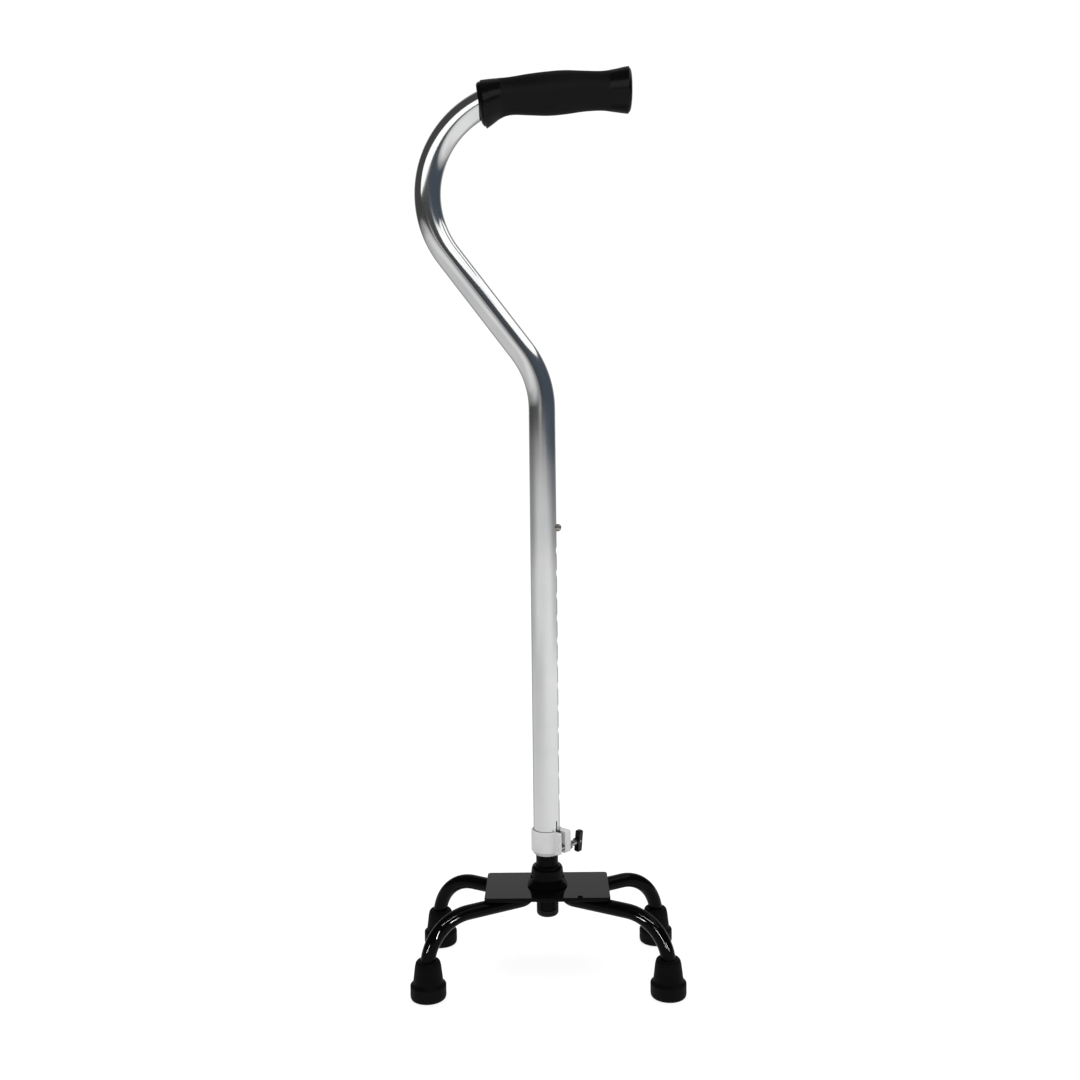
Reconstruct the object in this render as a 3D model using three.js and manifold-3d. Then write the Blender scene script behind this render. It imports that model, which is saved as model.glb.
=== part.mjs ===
// Quad walking cane with an offset (gooseneck) handle, millimetres, +Z up.
// The origin is on the floor under the shaft's axis; +X is the way the handle opens, -Y is the front.
import * as THREE from "three";
import { mergeVertices } from "three/addons/utils/BufferGeometryUtils.js";
import Module from "manifold-3d";

const wasm = await Module();
wasm.setup();

// ---------- driving dimensions ----------
const GAP = 0.3; // clearance between neighbouring pieces
const ROUND = 24; // sides of a round section

const TUBE_R = 11.1; // outer tube: 7/8 in stock
const TUBE_WALL = 1.5;
const TUBE_BOTTOM = 102.3;
const LEAN = THREE.MathUtils.degToRad(37); // the gooseneck's lean to the left
const LOWER_CORNER_Z = 502.1; // where the shaft's line meets the leaning line
const LOWER_BEND_R = 81;
const HANDLE_Z = 736.5; // height of the level stretch inside the grip
const UPPER_BEND_R = 83;
const TUBE_END_X = 72;

const BUTTON_Z = 375; // button height, with the handle at its lowest setting
const HOLE_PITCH = 19.05; // 3/4 in between settings
const HOLE_COUNT = 13;
const HOLE_R = 3.5;
const BUTTON_R = 3.15;
const BUTTON_TIP_X = 15.2;
const BUTTON_INNER_X = 5.2;
const BUTTON_FLANGE_X = 6.1;
const BUTTON_FLANGE_R = 4.3;
const BUTTON_DOME_H = 2.8;

const POST_R = 9.3; // inner tube
const POST_WALL = 1.5;
const POST_BOTTOM = 52.3;
const POST_TOP = 410;
const PLUG_BOTTOM = 46.3;

const CLAMP_AZIMUTH = THREE.MathUtils.degToRad(-40); // the way the clamp's ears point
const COLLAR_BOTTOM = 99;
const COLLAR_CONE_TOP = 102.2;
const COLLAR_TOP = 119.7;
const COLLAR_R = 13.1;
const COLLAR_LIP_R = 9.75;
const COLLAR_BORE_R = 11.5;
const COLLAR_FLOOR_Z = 102; // the tube's end stands on this inner lip
const SPLIT_BOTTOM = 108.5; // the ring is whole below this height
const SPLIT = [-2.2, 2.7]; // the gap between the ears, along the screw
const EAR_TIP = 18;
const EAR_BOTTOM = 101.5;
const THIN_EAR = 2.6;
const THICK_EAR = 7.3;
const SLIT_TOP = 128; // the slit in the outer tube's lower end
const SLIT_WIDTH = 1.4;

const SCREW_OUT = 15.1; // the screw axis's distance from the shaft's axis
const SCREW_Z = 106.2;
const SCREW_R = 2.45; // M5 screw
const SCREW_HOLE_R = 2.8;
const SHOULDER_R = 4;
const SHOULDER_T = 1.5;
const KNOB_START = 21.6; // along the screw
const KNOB_DEPTH = 5.3;
const KNOB_HEIGHT = 18.4;
const KNOB_THICK = 5;
const KNOB_TILT = THREE.MathUtils.degToRad(6);

const PLATE_X = 104;
const PLATE_Y = 60;
const PLATE_T = 3.2;
const PLATE_TOP = 71.4;
const PLATE_CORNER_R = 3;
const HUB_TOP = 89.5;

const LEG_R = 6;
const LEG_WALL = 1.5;
const LEG_APEX_X = 8.5; // where the two legs' centre lines would meet
const LEG_APEX_R = 10;
const LEG_DROP_R = 37;
const LEG_SPLAY = THREE.MathUtils.degToRad(12); // a leg's lean off the vertical at the tip
const FOOT_X = 96.5;
const FOOT_Y = 52.5;
const LEG_MEETS_FOOT_Z = 31; // height at which a leg's line passes over the foot's centre
const LEG_END_Z = 10; // lower end of a leg, inside its tip
const TIP_HEIGHT = 30.8;
const TIP_R = 14.45; // rubber tip: 1-1/8 in base
const WASHER_R = 5.6;
const WASHER_T = 1.5;

// ---------- materials ----------
const finish = (color, roughness, metalness) => () =>
  new THREE.MeshStandardMaterial({ color, roughness, metalness });
const anodised = finish(0xc9cacb, 0.28, 1);
const nickel = finish(0x8f867a, 0.3, 1);
const zincSteel = finish(0xb4b4b0, 0.35, 1);
const blackSteel = finish(0x0e0e0f, 0.18, 0.4);
const blackTube = finish(0x161617, 0.35, 0.5);
const greyAlloy = finish(0xc6c6c5, 0.5, 0.1);
const blackPlastic = finish(0x0b0b0d, 0.35, 0);
const blackGrip = finish(0x1b1b1c, 0.6, 0);
const blackRubber = finish(0x151515, 0.8, 0);

// ---------- helpers ----------
const point = (x, y, z) => new THREE.Vector3(x, y, z);

function toManifold(geometry) {
  const bare = geometry.clone();
  bare.deleteAttribute("normal");
  bare.deleteAttribute("uv");
  const merged = mergeVertices(bare, 1e-4);
  return new wasm.Manifold(
    new wasm.Mesh({
      numProp: 3,
      vertProperties: new Float32Array(merged.attributes.position.array),
      triVerts: new Uint32Array(merged.index.array),
    }),
  );
}

function toGeometry(manifold) {
  const mesh = manifold.getMesh();
  const geometry = new THREE.BufferGeometry();
  geometry.setAttribute("position", new THREE.BufferAttribute(mesh.vertProperties, 3));
  geometry.setIndex(new THREE.BufferAttribute(mesh.triVerts, 1));
  geometry.computeVertexNormals();
  return geometry;
}

// body is joined with the geometries in add, then cut by the ones in cut
function combine(body, { add = [], cut = [] }) {
  let solid = toManifold(body);
  for (const piece of add) solid = solid.add(toManifold(piece));
  for (const piece of cut) solid = solid.subtract(toManifold(piece));
  return toGeometry(solid);
}

// a curve through fixed stations, one extrusion step from each to the next
class StationPath extends THREE.Curve {
  constructor(stations) {
    super();
    this.stations = stations;
  }
  getUtoTmapping(u) {
    return u;
  }
  getPoint(t, target = new THREE.Vector3()) {
    const place = t * (this.stations.length - 1);
    const i = Math.min(Math.floor(place), this.stations.length - 2);
    return target.lerpVectors(this.stations[i], this.stations[i + 1], place - i);
  }
}

// straight runs between corners; each inner corner is rounded to its own [radius, steps]
function roundedPath(corners, bends) {
  const stations = [corners[0]];
  bends.forEach(([radius, steps], i) => {
    const corner = corners[i + 1];
    const back = corners[i].clone().sub(corner).normalize();
    const ahead = corners[i + 2].clone().sub(corner).normalize();
    const turn = Math.PI - back.angleTo(ahead);
    const reach = radius * Math.tan(turn / 2);
    const middle = back.clone().add(ahead).normalize();
    const centre = corner.clone().addScaledVector(middle, radius / Math.cos(turn / 2));
    const first = corner.clone().addScaledVector(back, reach).sub(centre);
    const last = corner.clone().addScaledVector(ahead, reach).sub(centre);
    const axis = first.clone().cross(last).normalize();
    for (let k = 0; k <= steps; k++) {
      stations.push(first.clone().applyAxisAngle(axis, (turn * k) / steps).add(centre));
    }
  });
  stations.push(corners.at(-1));
  return new StationPath(stations);
}

function disc(radius, holeRadius = 0, sides = ROUND) {
  const ring = (r) => {
    const corners = [];
    for (let k = 0; k < sides; k++) {
      const a = (2 * Math.PI * k) / sides;
      corners.push(new THREE.Vector2(r * Math.cos(a), r * Math.sin(a)));
    }
    return corners;
  };
  const shape = new THREE.Shape(ring(radius));
  if (holeRadius) shape.holes.push(new THREE.Path(ring(holeRadius)));
  return shape;
}

function sweep(shape, path) {
  return new THREE.ExtrudeGeometry(shape, {
    steps: path.stations.length - 1,
    extrudePath: path,
    bevelEnabled: false,
  });
}

// profile is [radius, height] pairs from the axis round to the axis, or a closed loop
function turned(profile, sides = ROUND) {
  return new THREE.LatheGeometry(profile.map(([r, z]) => new THREE.Vector2(r, z)), sides)
    .rotateX(Math.PI / 2);
}

function rod(radius, from, to, sides = ROUND) {
  return turned([[0, from], [radius, from], [radius, to], [0, to]], sides);
}

function roundedRectangle(width, height, radius) {
  const [x, y] = [width / 2, height / 2];
  const shape = new THREE.Shape();
  shape.moveTo(-x + radius, -y);
  shape.lineTo(x - radius, -y);
  shape.absarc(x - radius, -y + radius, radius, -Math.PI / 2, 0);
  shape.lineTo(x, y - radius);
  shape.absarc(x - radius, y - radius, radius, 0, Math.PI / 2);
  shape.lineTo(-x + radius, y);
  shape.absarc(-x + radius, y - radius, radius, Math.PI / 2, Math.PI);
  shape.lineTo(-x, -y + radius);
  shape.absarc(-x + radius, -y + radius, radius, Math.PI, 1.5 * Math.PI);
  return shape;
}

function thickened(shape, depth, curveSegments = 4) {
  return new THREE.ExtrudeGeometry(shape, { depth, bevelEnabled: false, curveSegments });
}

function block(x0, x1, y0, y1, z0, z1) {
  return new THREE.BoxGeometry(x1 - x0, y1 - y0, z1 - z0)
    .translate((x0 + x1) / 2, (y0 + y1) / 2, (z0 + z1) / 2);
}

function piece(name, geometry, material) {
  const mesh = new THREE.Mesh(geometry, material());
  mesh.name = name;
  return mesh;
}

// ---------- handle ----------
function handlePath(endX) {
  const leanRun = (HANDLE_Z - LOWER_CORNER_Z) * Math.tan(LEAN);
  return roundedPath(
    [
      point(0, 0, TUBE_BOTTOM),
      point(0, 0, LOWER_CORNER_Z),
      point(-leanRun, 0, HANDLE_Z),
      point(endX, 0, HANDLE_Z),
    ],
    [[LOWER_BEND_R, 6], [UPPER_BEND_R, 16]],
  );
}

function handleTube() {
  const cuts = [];
  for (let k = 0; k < HOLE_COUNT; k++) {
    const hole = rod(HOLE_R, 0, TUBE_R + 5, 16).rotateY(Math.PI / 2);
    cuts.push(hole.translate(0, 0, BUTTON_Z - k * HOLE_PITCH));
  }
  const half = SLIT_WIDTH / 2;
  cuts.push(block(5, 15, -half, half, TUBE_BOTTOM - 1, SLIT_TOP).rotateZ(CLAMP_AZIMUTH));
  const tube = sweep(disc(TUBE_R, TUBE_R - TUBE_WALL), handlePath(TUBE_END_X));
  return piece("handle_tube", combine(tube, { cut: cuts }), anodised);
}

// stations from the gooseneck end to the free end: top X, top Z, bottom X, bottom Z
const GRIP_STATIONS = [
  [-51.9, 744.5, -47.3, 712.5],
  [-51.2, 746.6, -46.4, 709.6],
  [-48.5, 747.4, -43.6, 708.3],
  [-41, 748, -38.5, 711.6],
  [-31, 748.9, -31, 716.8],
  [-22, 749.9, -22, 719.2],
  [-8, 752, -8, 718.8],
  [8, 753.7, 8, 718.2],
  [22, 754.5, 22, 719.2],
  [38, 753.9, 38, 721.2],
  [52, 753.5, 52, 721.8],
  [62, 754.6, 62, 720.8],
  [70, 756.3, 70, 719.6],
  [74.3, 756.9, 74.3, 719.2],
  [77, 754.4, 77, 721.6],
  [78.1, 750, 78.1, 726],
];
const GRIP_FLATTENING = 0.9; // width over height

function handGrip() {
  const last = GRIP_STATIONS.length - 1;
  const shell = new THREE.CylinderGeometry(1, 1, last, ROUND, last);
  const place = shell.attributes.position;
  for (let i = 0; i < place.count; i++) {
    const [topX, topZ, bottomX, bottomZ] = GRIP_STATIONS[Math.round(place.getY(i) + last / 2)];
    const up = place.getX(i); // +1 at the top line, -1 at the bottom line
    const halfHeight = Math.hypot(topX - bottomX, topZ - bottomZ) / 2;
    place.setXYZ(
      i,
      THREE.MathUtils.lerp(bottomX, topX, (1 + up) / 2),
      place.getZ(i) * halfHeight * GRIP_FLATTENING,
      THREE.MathUtils.lerp(bottomZ, topZ, (1 + up) / 2),
    );
  }
  const bore = sweep(disc(TUBE_R + 0.4), handlePath(TUBE_END_X + 2.4));
  return piece("hand_grip", combine(shell, { cut: [bore] }), blackGrip);
}

function tubeEndPlug() {
  const stem = TUBE_R - TUBE_WALL - 0.4;
  const geometry = turned([[0, -8], [stem, -8], [stem, GAP], [TUBE_R, GAP], [TUBE_R, 2], [0, 2]])
    .rotateY(Math.PI / 2)
    .translate(TUBE_END_X, 0, HANDLE_Z);
  return piece("tube_end_plug", geometry, blackPlastic);
}

// ---------- clamp, drawn with its ears along +X and its screw along +Y ----------
function ear(y0, y1) {
  const rootX = 5;
  const shape = roundedRectangle(EAR_TIP - rootX, COLLAR_TOP - EAR_BOTTOM, 1.2);
  return thickened(shape, y1 - y0)
    .rotateX(Math.PI / 2)
    .translate((EAR_TIP + rootX) / 2, y1, (COLLAR_TOP + EAR_BOTTOM) / 2);
}

function screwHole(from, to) {
  return rod(SCREW_HOLE_R, from, to, 16).rotateX(-Math.PI / 2).translate(SCREW_OUT, 0, SCREW_Z);
}

function lockingCollar() {
  const ring = turned([
    [0, COLLAR_BOTTOM],
    [COLLAR_LIP_R + 1, COLLAR_BOTTOM],
    [COLLAR_R, COLLAR_CONE_TOP],
    [COLLAR_R, COLLAR_TOP - 0.5],
    [COLLAR_R - 0.5, COLLAR_TOP],
    [0, COLLAR_TOP],
  ]);
  const [near, far] = SPLIT;
  const geometry = combine(ring, {
    add: [ear(near - THIN_EAR, near), ear(far, far + THICK_EAR)],
    cut: [
      rod(COLLAR_BORE_R, COLLAR_FLOOR_Z, COLLAR_TOP + 1),
      rod(COLLAR_LIP_R, COLLAR_BOTTOM - 1, COLLAR_FLOOR_Z + 1),
      block(5, EAR_TIP + 1, near, far, SPLIT_BOTTOM, COLLAR_TOP + 1),
      screwHole(near - THIN_EAR + 0.6, far + THICK_EAR + 1),
    ],
  });
  return piece("locking_collar", geometry, greyAlloy);
}

function thumbscrewShank() {
  const seat = SPLIT[1] + THICK_EAR + GAP;
  const geometry = turned([
    [0, SPLIT[0] - THIN_EAR + 0.9],
    [SCREW_R, SPLIT[0] - THIN_EAR + 0.9],
    [SCREW_R, seat],
    [SHOULDER_R, seat],
    [SHOULDER_R, seat + SHOULDER_T],
    [SCREW_R, seat + SHOULDER_T],
    [SCREW_R, KNOB_START + KNOB_DEPTH - 1.5],
    [0, KNOB_START + KNOB_DEPTH - 1.5],
  ], 16);
  const mesh = piece("thumbscrew_shank", geometry.rotateX(-Math.PI / 2), zincSteel);
  mesh.position.set(SCREW_OUT, 0, SCREW_Z);
  return mesh;
}

function thumbscrewKnob() {
  const bevel = 0.6;
  const outline = roundedRectangle(KNOB_THICK - 2 * bevel, KNOB_HEIGHT - 2 * bevel, 1.2);
  const bar = new THREE.ExtrudeGeometry(outline, {
    depth: KNOB_DEPTH - 2 * bevel,
    bevelThickness: bevel,
    bevelSize: bevel,
    bevelSegments: 2,
    curveSegments: 4,
  });
  bar.rotateX(Math.PI / 2).translate(0, KNOB_START + KNOB_DEPTH - bevel, 0);
  const socket = rod(SCREW_HOLE_R, KNOB_START - 1, KNOB_START + KNOB_DEPTH - 1.2, 16);
  const geometry = combine(bar, { cut: [socket.rotateX(-Math.PI / 2)] });
  const mesh = piece("thumbscrew_knob", geometry, blackPlastic);
  mesh.position.set(SCREW_OUT, 0, SCREW_Z);
  mesh.rotation.y = KNOB_TILT;
  return mesh;
}

// ---------- post and snap button ----------
function innerTube() {
  const tube = turned([
    [POST_R - POST_WALL, POST_BOTTOM],
    [POST_R, POST_BOTTOM],
    [POST_R, POST_TOP],
    [POST_R - POST_WALL, POST_TOP],
    [POST_R - POST_WALL, POST_BOTTOM],
  ]);
  const hole = rod(HOLE_R, 0, POST_R + 5, 16).rotateY(Math.PI / 2).translate(0, 0, BUTTON_Z);
  return piece("inner_tube", combine(tube, { cut: [hole] }), blackTube);
}

function postEndPlug() {
  const stem = POST_R - POST_WALL - 0.4;
  const seat = POST_BOTTOM - GAP;
  const profile = [[0, PLUG_BOTTOM]];
  for (const turn of [15, 40, 65, 90]) {
    const a = THREE.MathUtils.degToRad(turn);
    const drop = seat - PLUG_BOTTOM;
    profile.push([POST_R - drop * (1 - Math.sin(a)), PLUG_BOTTOM + drop * (1 - Math.cos(a))]);
  }
  profile.push([stem, seat], [stem, seat + 10], [0, seat + 10]);
  return piece("post_end_plug", turned(profile), blackPlastic);
}

function snapButton() {
  const domeStart = BUTTON_TIP_X - BUTTON_DOME_H;
  const profile = [
    [0, BUTTON_INNER_X],
    [BUTTON_FLANGE_R, BUTTON_INNER_X],
    [BUTTON_FLANGE_R, BUTTON_FLANGE_X],
    [BUTTON_R, BUTTON_FLANGE_X],
  ];
  for (let k = 0; k <= 4; k++) {
    const a = (Math.PI / 2) * (k / 4);
    profile.push([k < 4 ? BUTTON_R * Math.cos(a) : 0, domeStart + BUTTON_DOME_H * Math.sin(a)]);
  }
  const mesh = piece("snap_button", turned(profile).rotateY(Math.PI / 2), nickel);
  mesh.position.z = BUTTON_Z;
  return mesh;
}

// a bent strip: one leg lies on the tube's wall, the other presses on the button
function buttonSpring() {
  const width = 5;
  const thickness = 0.6;
  const strip = new THREE.Shape([
    new THREE.Vector2(-width / 2, -thickness / 2),
    new THREE.Vector2(width / 2, -thickness / 2),
    new THREE.Vector2(width / 2, thickness / 2),
    new THREE.Vector2(-width / 2, thickness / 2),
  ]);
  const path = roundedPath(
    [point(-6.7, 0, BUTTON_Z + 5), point(-6.7, 0, 327), point(4.4, 0, BUTTON_Z + 4)],
    [[1.2, 6]],
  );
  return piece("button_spring", sweep(strip, path), zincSteel);
}

// ---------- base ----------
function basePlate() {
  const outline = roundedRectangle(PLATE_X, PLATE_Y, PLATE_CORNER_R);
  outline.holes.push(disc(POST_R + GAP + 0.1));
  const geometry = thickened(outline, PLATE_T).translate(0, 0, PLATE_TOP - PLATE_T);
  return piece("base_plate", geometry, blackSteel);
}

// radius over height, from the plate to the rounded shoulder
const HUB_PROFILE = [
  [16.9, 0],
  [16.9, 0.8],
  [15.6, 3.4],
  [14.4, 6.6],
  [13.7, 10],
  [13.4, 13.4],
  [12.9, 15.6],
  [11.9, 17.2],
  [10.6, 17.8],
];

function socketHub() {
  const boreR = POST_R + GAP + 0.1;
  const bottom = PLATE_TOP + GAP;
  const top = HUB_TOP - bottom;
  const profile = [[boreR, 0], ...HUB_PROFILE, [boreR, top], [boreR, 0]];
  const geometry = turned(profile.map(([r, z]) => [r, z + bottom]), 32);
  return piece("socket_hub", geometry, blackSteel);
}

const LEG_Z = PLATE_TOP - PLATE_T - GAP - LEG_R;

// one leg's corners, from its lower end to the bow's apex
function legCorners(sideX, sideY) {
  const foot = point(sideX * FOOT_X, sideY * FOOT_Y, LEG_MEETS_FOOT_Z);
  const apex = point(sideX * LEG_APEX_X, 0, LEG_Z);
  const outward = point(foot.x - apex.x, foot.y, 0).normalize();
  const alongLeg = (z) => foot.clone()
    .addScaledVector(outward, (LEG_MEETS_FOOT_Z - z) * Math.tan(LEG_SPLAY))
    .setZ(z);
  return { end: alongLeg(LEG_END_Z), knee: alongLeg(LEG_Z), apex };
}

function legBow(name, sideX) {
  const front = legCorners(sideX, -1);
  const rear = legCorners(sideX, 1);
  const path = roundedPath(
    [front.end, front.knee, front.apex, rear.knee, rear.end],
    [[LEG_DROP_R, 6], [LEG_APEX_R, 8], [LEG_DROP_R, 6]],
  );
  return piece(name, sweep(disc(LEG_R, LEG_R - LEG_WALL, 16), path), blackSteel);
}

// ---------- feet ----------
const TIP_PROFILE = [
  [0, 0],
  [11.4, 0],
  [13.5, 0.9],
  [TIP_R, 3],
  [TIP_R, 10.8],
  [13.7, 12.1],
  [12.4, 12.6],
  [10.7, 25.6],
  [10.1, 28.6],
  [8.9, 30.3],
  [7.6, TIP_HEIGHT],
  [0, TIP_HEIGHT],
];

// the leg's line, as a position over the foot's centre and a turn from the vertical
function alignWithLeg(geometry, sideX, sideY) {
  const { end, knee } = legCorners(sideX, sideY);
  const down = end.clone().sub(knee).normalize();
  const turn = new THREE.Quaternion().setFromUnitVectors(point(0, 0, -1), down);
  return geometry.applyQuaternion(turn).translate(end.x, end.y, end.z);
}

function foot(place, sideX, sideY) {
  const bore = alignWithLeg(rod(LEG_R + GAP, -2.4, 40, 16), sideX, sideY);
  bore.translate(-sideX * FOOT_X, -sideY * FOOT_Y, 0);
  const tip = piece(`foot_tip_${place}`, combine(turned(TIP_PROFILE), { cut: [bore] }), blackRubber);
  tip.position.set(sideX * FOOT_X, sideY * FOOT_Y, 0);
  const ring = turned([
    [2, -2.1],
    [WASHER_R, -2.1],
    [WASHER_R, WASHER_T - 2.1],
    [2, WASHER_T - 2.1],
    [2, -2.1],
  ], 16);
  const washer = piece(`tip_washer_${place}`, alignWithLeg(ring, sideX, sideY), zincSteel);
  return [tip, washer];
}

// ---------- assembly ----------
const clamp = new THREE.Group();
clamp.rotation.z = CLAMP_AZIMUTH;
clamp.add(lockingCollar(), thumbscrewShank(), thumbscrewKnob());

const handle = new THREE.Group();
handle.add(handleTube(), handGrip(), tubeEndPlug(), clamp);

const base = new THREE.Group();
base.add(innerTube(), postEndPlug(), buttonSpring(), snapButton(), basePlate(), socketHub());
base.add(legBow("leg_bow_left", -1), legBow("leg_bow_right", 1));
base.add(...foot("front_left", -1, -1), ...foot("front_right", 1, -1));
base.add(...foot("rear_left", -1, 1), ...foot("rear_right", 1, 1));

const cane = new THREE.Group();
cane.name = "quad_cane";
cane.add(base, handle);

export default cane;
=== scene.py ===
"""Visual model of the quad walking cane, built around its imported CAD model.

Lengths are in millimetres until a mesh is made. The origin is on the floor under the shaft's
axis, +X is the way the handle opens, and -Y is the front.
"""

import math
from collections import Counter
from contextlib import contextmanager
from math import cos, pi, radians, sin, tan

import bmesh
import bpy
import numpy as np
from mathutils import Matrix, Quaternion, Vector


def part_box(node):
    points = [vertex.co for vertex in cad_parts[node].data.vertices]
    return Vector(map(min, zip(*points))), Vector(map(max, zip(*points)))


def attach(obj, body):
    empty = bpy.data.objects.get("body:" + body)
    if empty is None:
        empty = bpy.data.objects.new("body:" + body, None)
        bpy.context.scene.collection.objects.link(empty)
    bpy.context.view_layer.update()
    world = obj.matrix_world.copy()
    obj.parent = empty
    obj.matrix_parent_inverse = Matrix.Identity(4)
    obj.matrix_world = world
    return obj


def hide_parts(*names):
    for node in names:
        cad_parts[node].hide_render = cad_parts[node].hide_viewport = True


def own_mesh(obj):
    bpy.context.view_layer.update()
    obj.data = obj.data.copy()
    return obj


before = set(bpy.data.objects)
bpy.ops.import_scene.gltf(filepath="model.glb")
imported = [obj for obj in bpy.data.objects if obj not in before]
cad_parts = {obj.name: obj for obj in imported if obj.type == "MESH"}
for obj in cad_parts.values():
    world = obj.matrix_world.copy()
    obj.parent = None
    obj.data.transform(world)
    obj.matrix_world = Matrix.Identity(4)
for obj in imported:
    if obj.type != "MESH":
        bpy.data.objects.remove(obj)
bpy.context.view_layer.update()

MM = 0.001


def low(node):
    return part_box(node)[0] / MM


def high(node):
    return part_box(node)[1] / MM


def heights(node):
    return low(node).z, high(node).z


# ---- driving dimensions, as the CAD model has them ----
TUBE_R = 11.1
TUBE_WALL = 1.5
TUBE_BOTTOM = low("handle_tube").z
LEAN = radians(37)
LOWER_CORNER_Z = 502.1
LOWER_BEND_R = 81
HANDLE_Z = 736.5
UPPER_BEND_R = 83
TUBE_END_X = high("handle_tube").x

BUTTON_Z = 375
HOLE_PITCH = 19.05
HOLE_COUNT = 13
HOLE_R = 3.5

POST_R = 9.3
POST_WALL = 1.5
POST_BOTTOM, POST_TOP = heights("inner_tube")

CLAMP_AZIMUTH = radians(-40)
COLLAR_BOTTOM, COLLAR_TOP = heights("locking_collar")
COLLAR_R = 13.1
COLLAR_BORE_R = 11.5
COLLAR_LIP_R = 9.75
COLLAR_CONE = 3.2
COLLAR_FLOOR_Z = 102
SPLIT_BOTTOM = 108.5
SPLIT = (-2.2, 2.7)
EAR_ROOT = 5
EAR_TIP = 18
EAR_BOTTOM = 101.5
THIN_EAR = 2.6
THICK_EAR = 7.3
SLIT_TOP = 128
SLIT_WIDTH = 1.4

SCREW_OUT = 15.1
SCREW_Z = 106.2
SCREW_R = 2.45
SCREW_HOLE_R = 2.8
SHOULDER_R = 4
SHOULDER_T = 1.5
THREAD_PITCH = 0.8
KNOB_START = 21.6
KNOB_DEPTH = 5.3
KNOB_HEIGHT = 18.4
KNOB_THICK = 5
KNOB_TILT = radians(6)

PLATE_BOTTOM, PLATE_TOP = heights("base_plate")
PLATE_X, PLATE_Y = high("base_plate").xy
PLATE_CORNER_R = 3
HUB_BOTTOM, HUB_TOP = heights("socket_hub")
HUB_BASE_R = high("socket_hub").x
HUB_BORE_R = 9.7

LEG_R = 6
LEG_WALL = 1.5
LEG_Z = high("leg_bow_left").z - LEG_R
LEG_APEX_X = 8.5
LEG_APEX_R = 10
LEG_DROP_R = 37
LEG_SPLAY = radians(12)
LEG_MEETS_FOOT_Z = 31
LEG_END_Z = 10
WELD_R = 1.3

FEET = ((-1, -1), (-1, 1), (1, -1), (1, 1))  # the side in X and in Y
TIP_R = 14.45
TIP_HEIGHT = high("foot_tip_front_left").z


# ---- mesh helpers ----
def added(name, data):
    """A new object in the scene."""
    piece = bpy.data.objects.new(name, data)
    bpy.context.scene.collection.objects.link(piece)
    return piece


def painted(piece, material):
    piece.data.materials.clear()
    piece.data.materials.append(material)
    return piece


@contextmanager
def opened(mesh):
    """The mesh as a bmesh to work on, written back afterwards."""
    work = bmesh.new()
    work.from_mesh(mesh)
    yield work
    work.to_mesh(mesh)
    work.free()


def mesh_of(name, points, faces):
    """A mesh from points in millimetres."""
    mesh = bpy.data.meshes.new(name)
    mesh.from_pydata((np.asarray(points, float) * MM).tolist(), [], faces)
    return mesh


def point_vectors(mesh, name, vectors):
    """One vector for each point of the mesh, for its material to read."""
    attribute = mesh.attributes.new(name, "FLOAT_VECTOR", "POINT")
    attribute.data.foreach_set("vector", np.array(vectors, np.float32).ravel())


def solid(name, points, faces):
    """An object with its faces turned outwards."""
    mesh = mesh_of(name, points, faces)
    mesh.validate()
    with opened(mesh) as work:
        bmesh.ops.recalc_face_normals(work, faces=work.faces)
    return added(name, mesh)


def modified(piece, kind, **settings):
    """One modifier, applied to the piece's mesh."""
    modifier = piece.modifiers.new(kind, kind)
    for key, value in settings.items():
        setattr(modifier, key, value)
    graph = bpy.context.evaluated_depsgraph_get()
    mesh = bpy.data.meshes.new_from_object(piece.evaluated_get(graph))
    piece.modifiers.clear()
    piece.data = mesh
    return piece


def joined(piece, other, operation="UNION"):
    """The piece with the other solid added to it or taken from it."""
    modified(piece, "BOOLEAN", operation=operation, solver="EXACT", object=other)
    bpy.data.objects.remove(other)
    return piece


def carved(piece, *cutters):
    for cutter in cutters:
        joined(piece, cutter, "DIFFERENCE")
    return piece


def merged(piece):
    """The piece without the tiny edges that a boolean leaves."""
    distance = 0.01 * MM
    with opened(piece.data) as work:
        bmesh.ops.remove_doubles(work, verts=work.verts, dist=distance)
        bmesh.ops.dissolve_degenerate(work, edges=work.edges, dist=distance)
    return piece


def eased(piece, width, segments, angle):
    """The piece with its sharp edges rounded off."""
    settings = {"width": width * MM, "segments": segments, "miter_outer": "MITER_ARC"}
    settings.update(limit_method="ANGLE", angle_limit=radians(angle))
    return modified(piece, "BEVEL", **settings)


def shaded(piece, sharp):
    """Smooth shading, broken where two faces meet at more than the sharp angle."""
    with opened(piece.data) as work:
        for face in work.faces:
            face.smooth = True
        for edge in work.edges:
            edge.smooth = edge.calc_face_angle(pi) < radians(sharp)
    return modified(piece, "WEIGHTED_NORMAL", keep_sharp=True)


def placed(piece, shift=(0, 0, 0), angle=0, axis="Z"):
    """The piece's mesh turned about an axis, then moved by a shift in millimetres."""
    piece.data.transform(Matrix.Translation(Vector(shift) * MM) @ Matrix.Rotation(angle, 4, axis))
    return piece


def softened(corners, steps=5):
    """A profile of (x, y, radius) corners, each rounded to its radius."""
    out = []
    for i, (x, y, radius) in enumerate(corners):
        here = Vector((x, y))
        if radius <= 0 or i in (0, len(corners) - 1):
            out.append((x, y))
            continue
        back = Vector(corners[i - 1][:2]) - here
        ahead = Vector(corners[i + 1][:2]) - here
        half = back.angle(ahead) / 2
        reach = min(radius / tan(half), 0.49 * back.length, 0.49 * ahead.length)
        radius = reach * tan(half)
        middle = (back.normalized() + ahead.normalized()).normalized()
        centre = here + middle * (radius / sin(half))
        start = here + back.normalized() * reach - centre
        end = here + ahead.normalized() * reach - centre
        turn = start.angle_signed(end)
        for k in range(steps + 1):
            out.append(tuple(centre + Matrix.Rotation(-turn * k / steps, 2) @ start))
    return out


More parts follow.
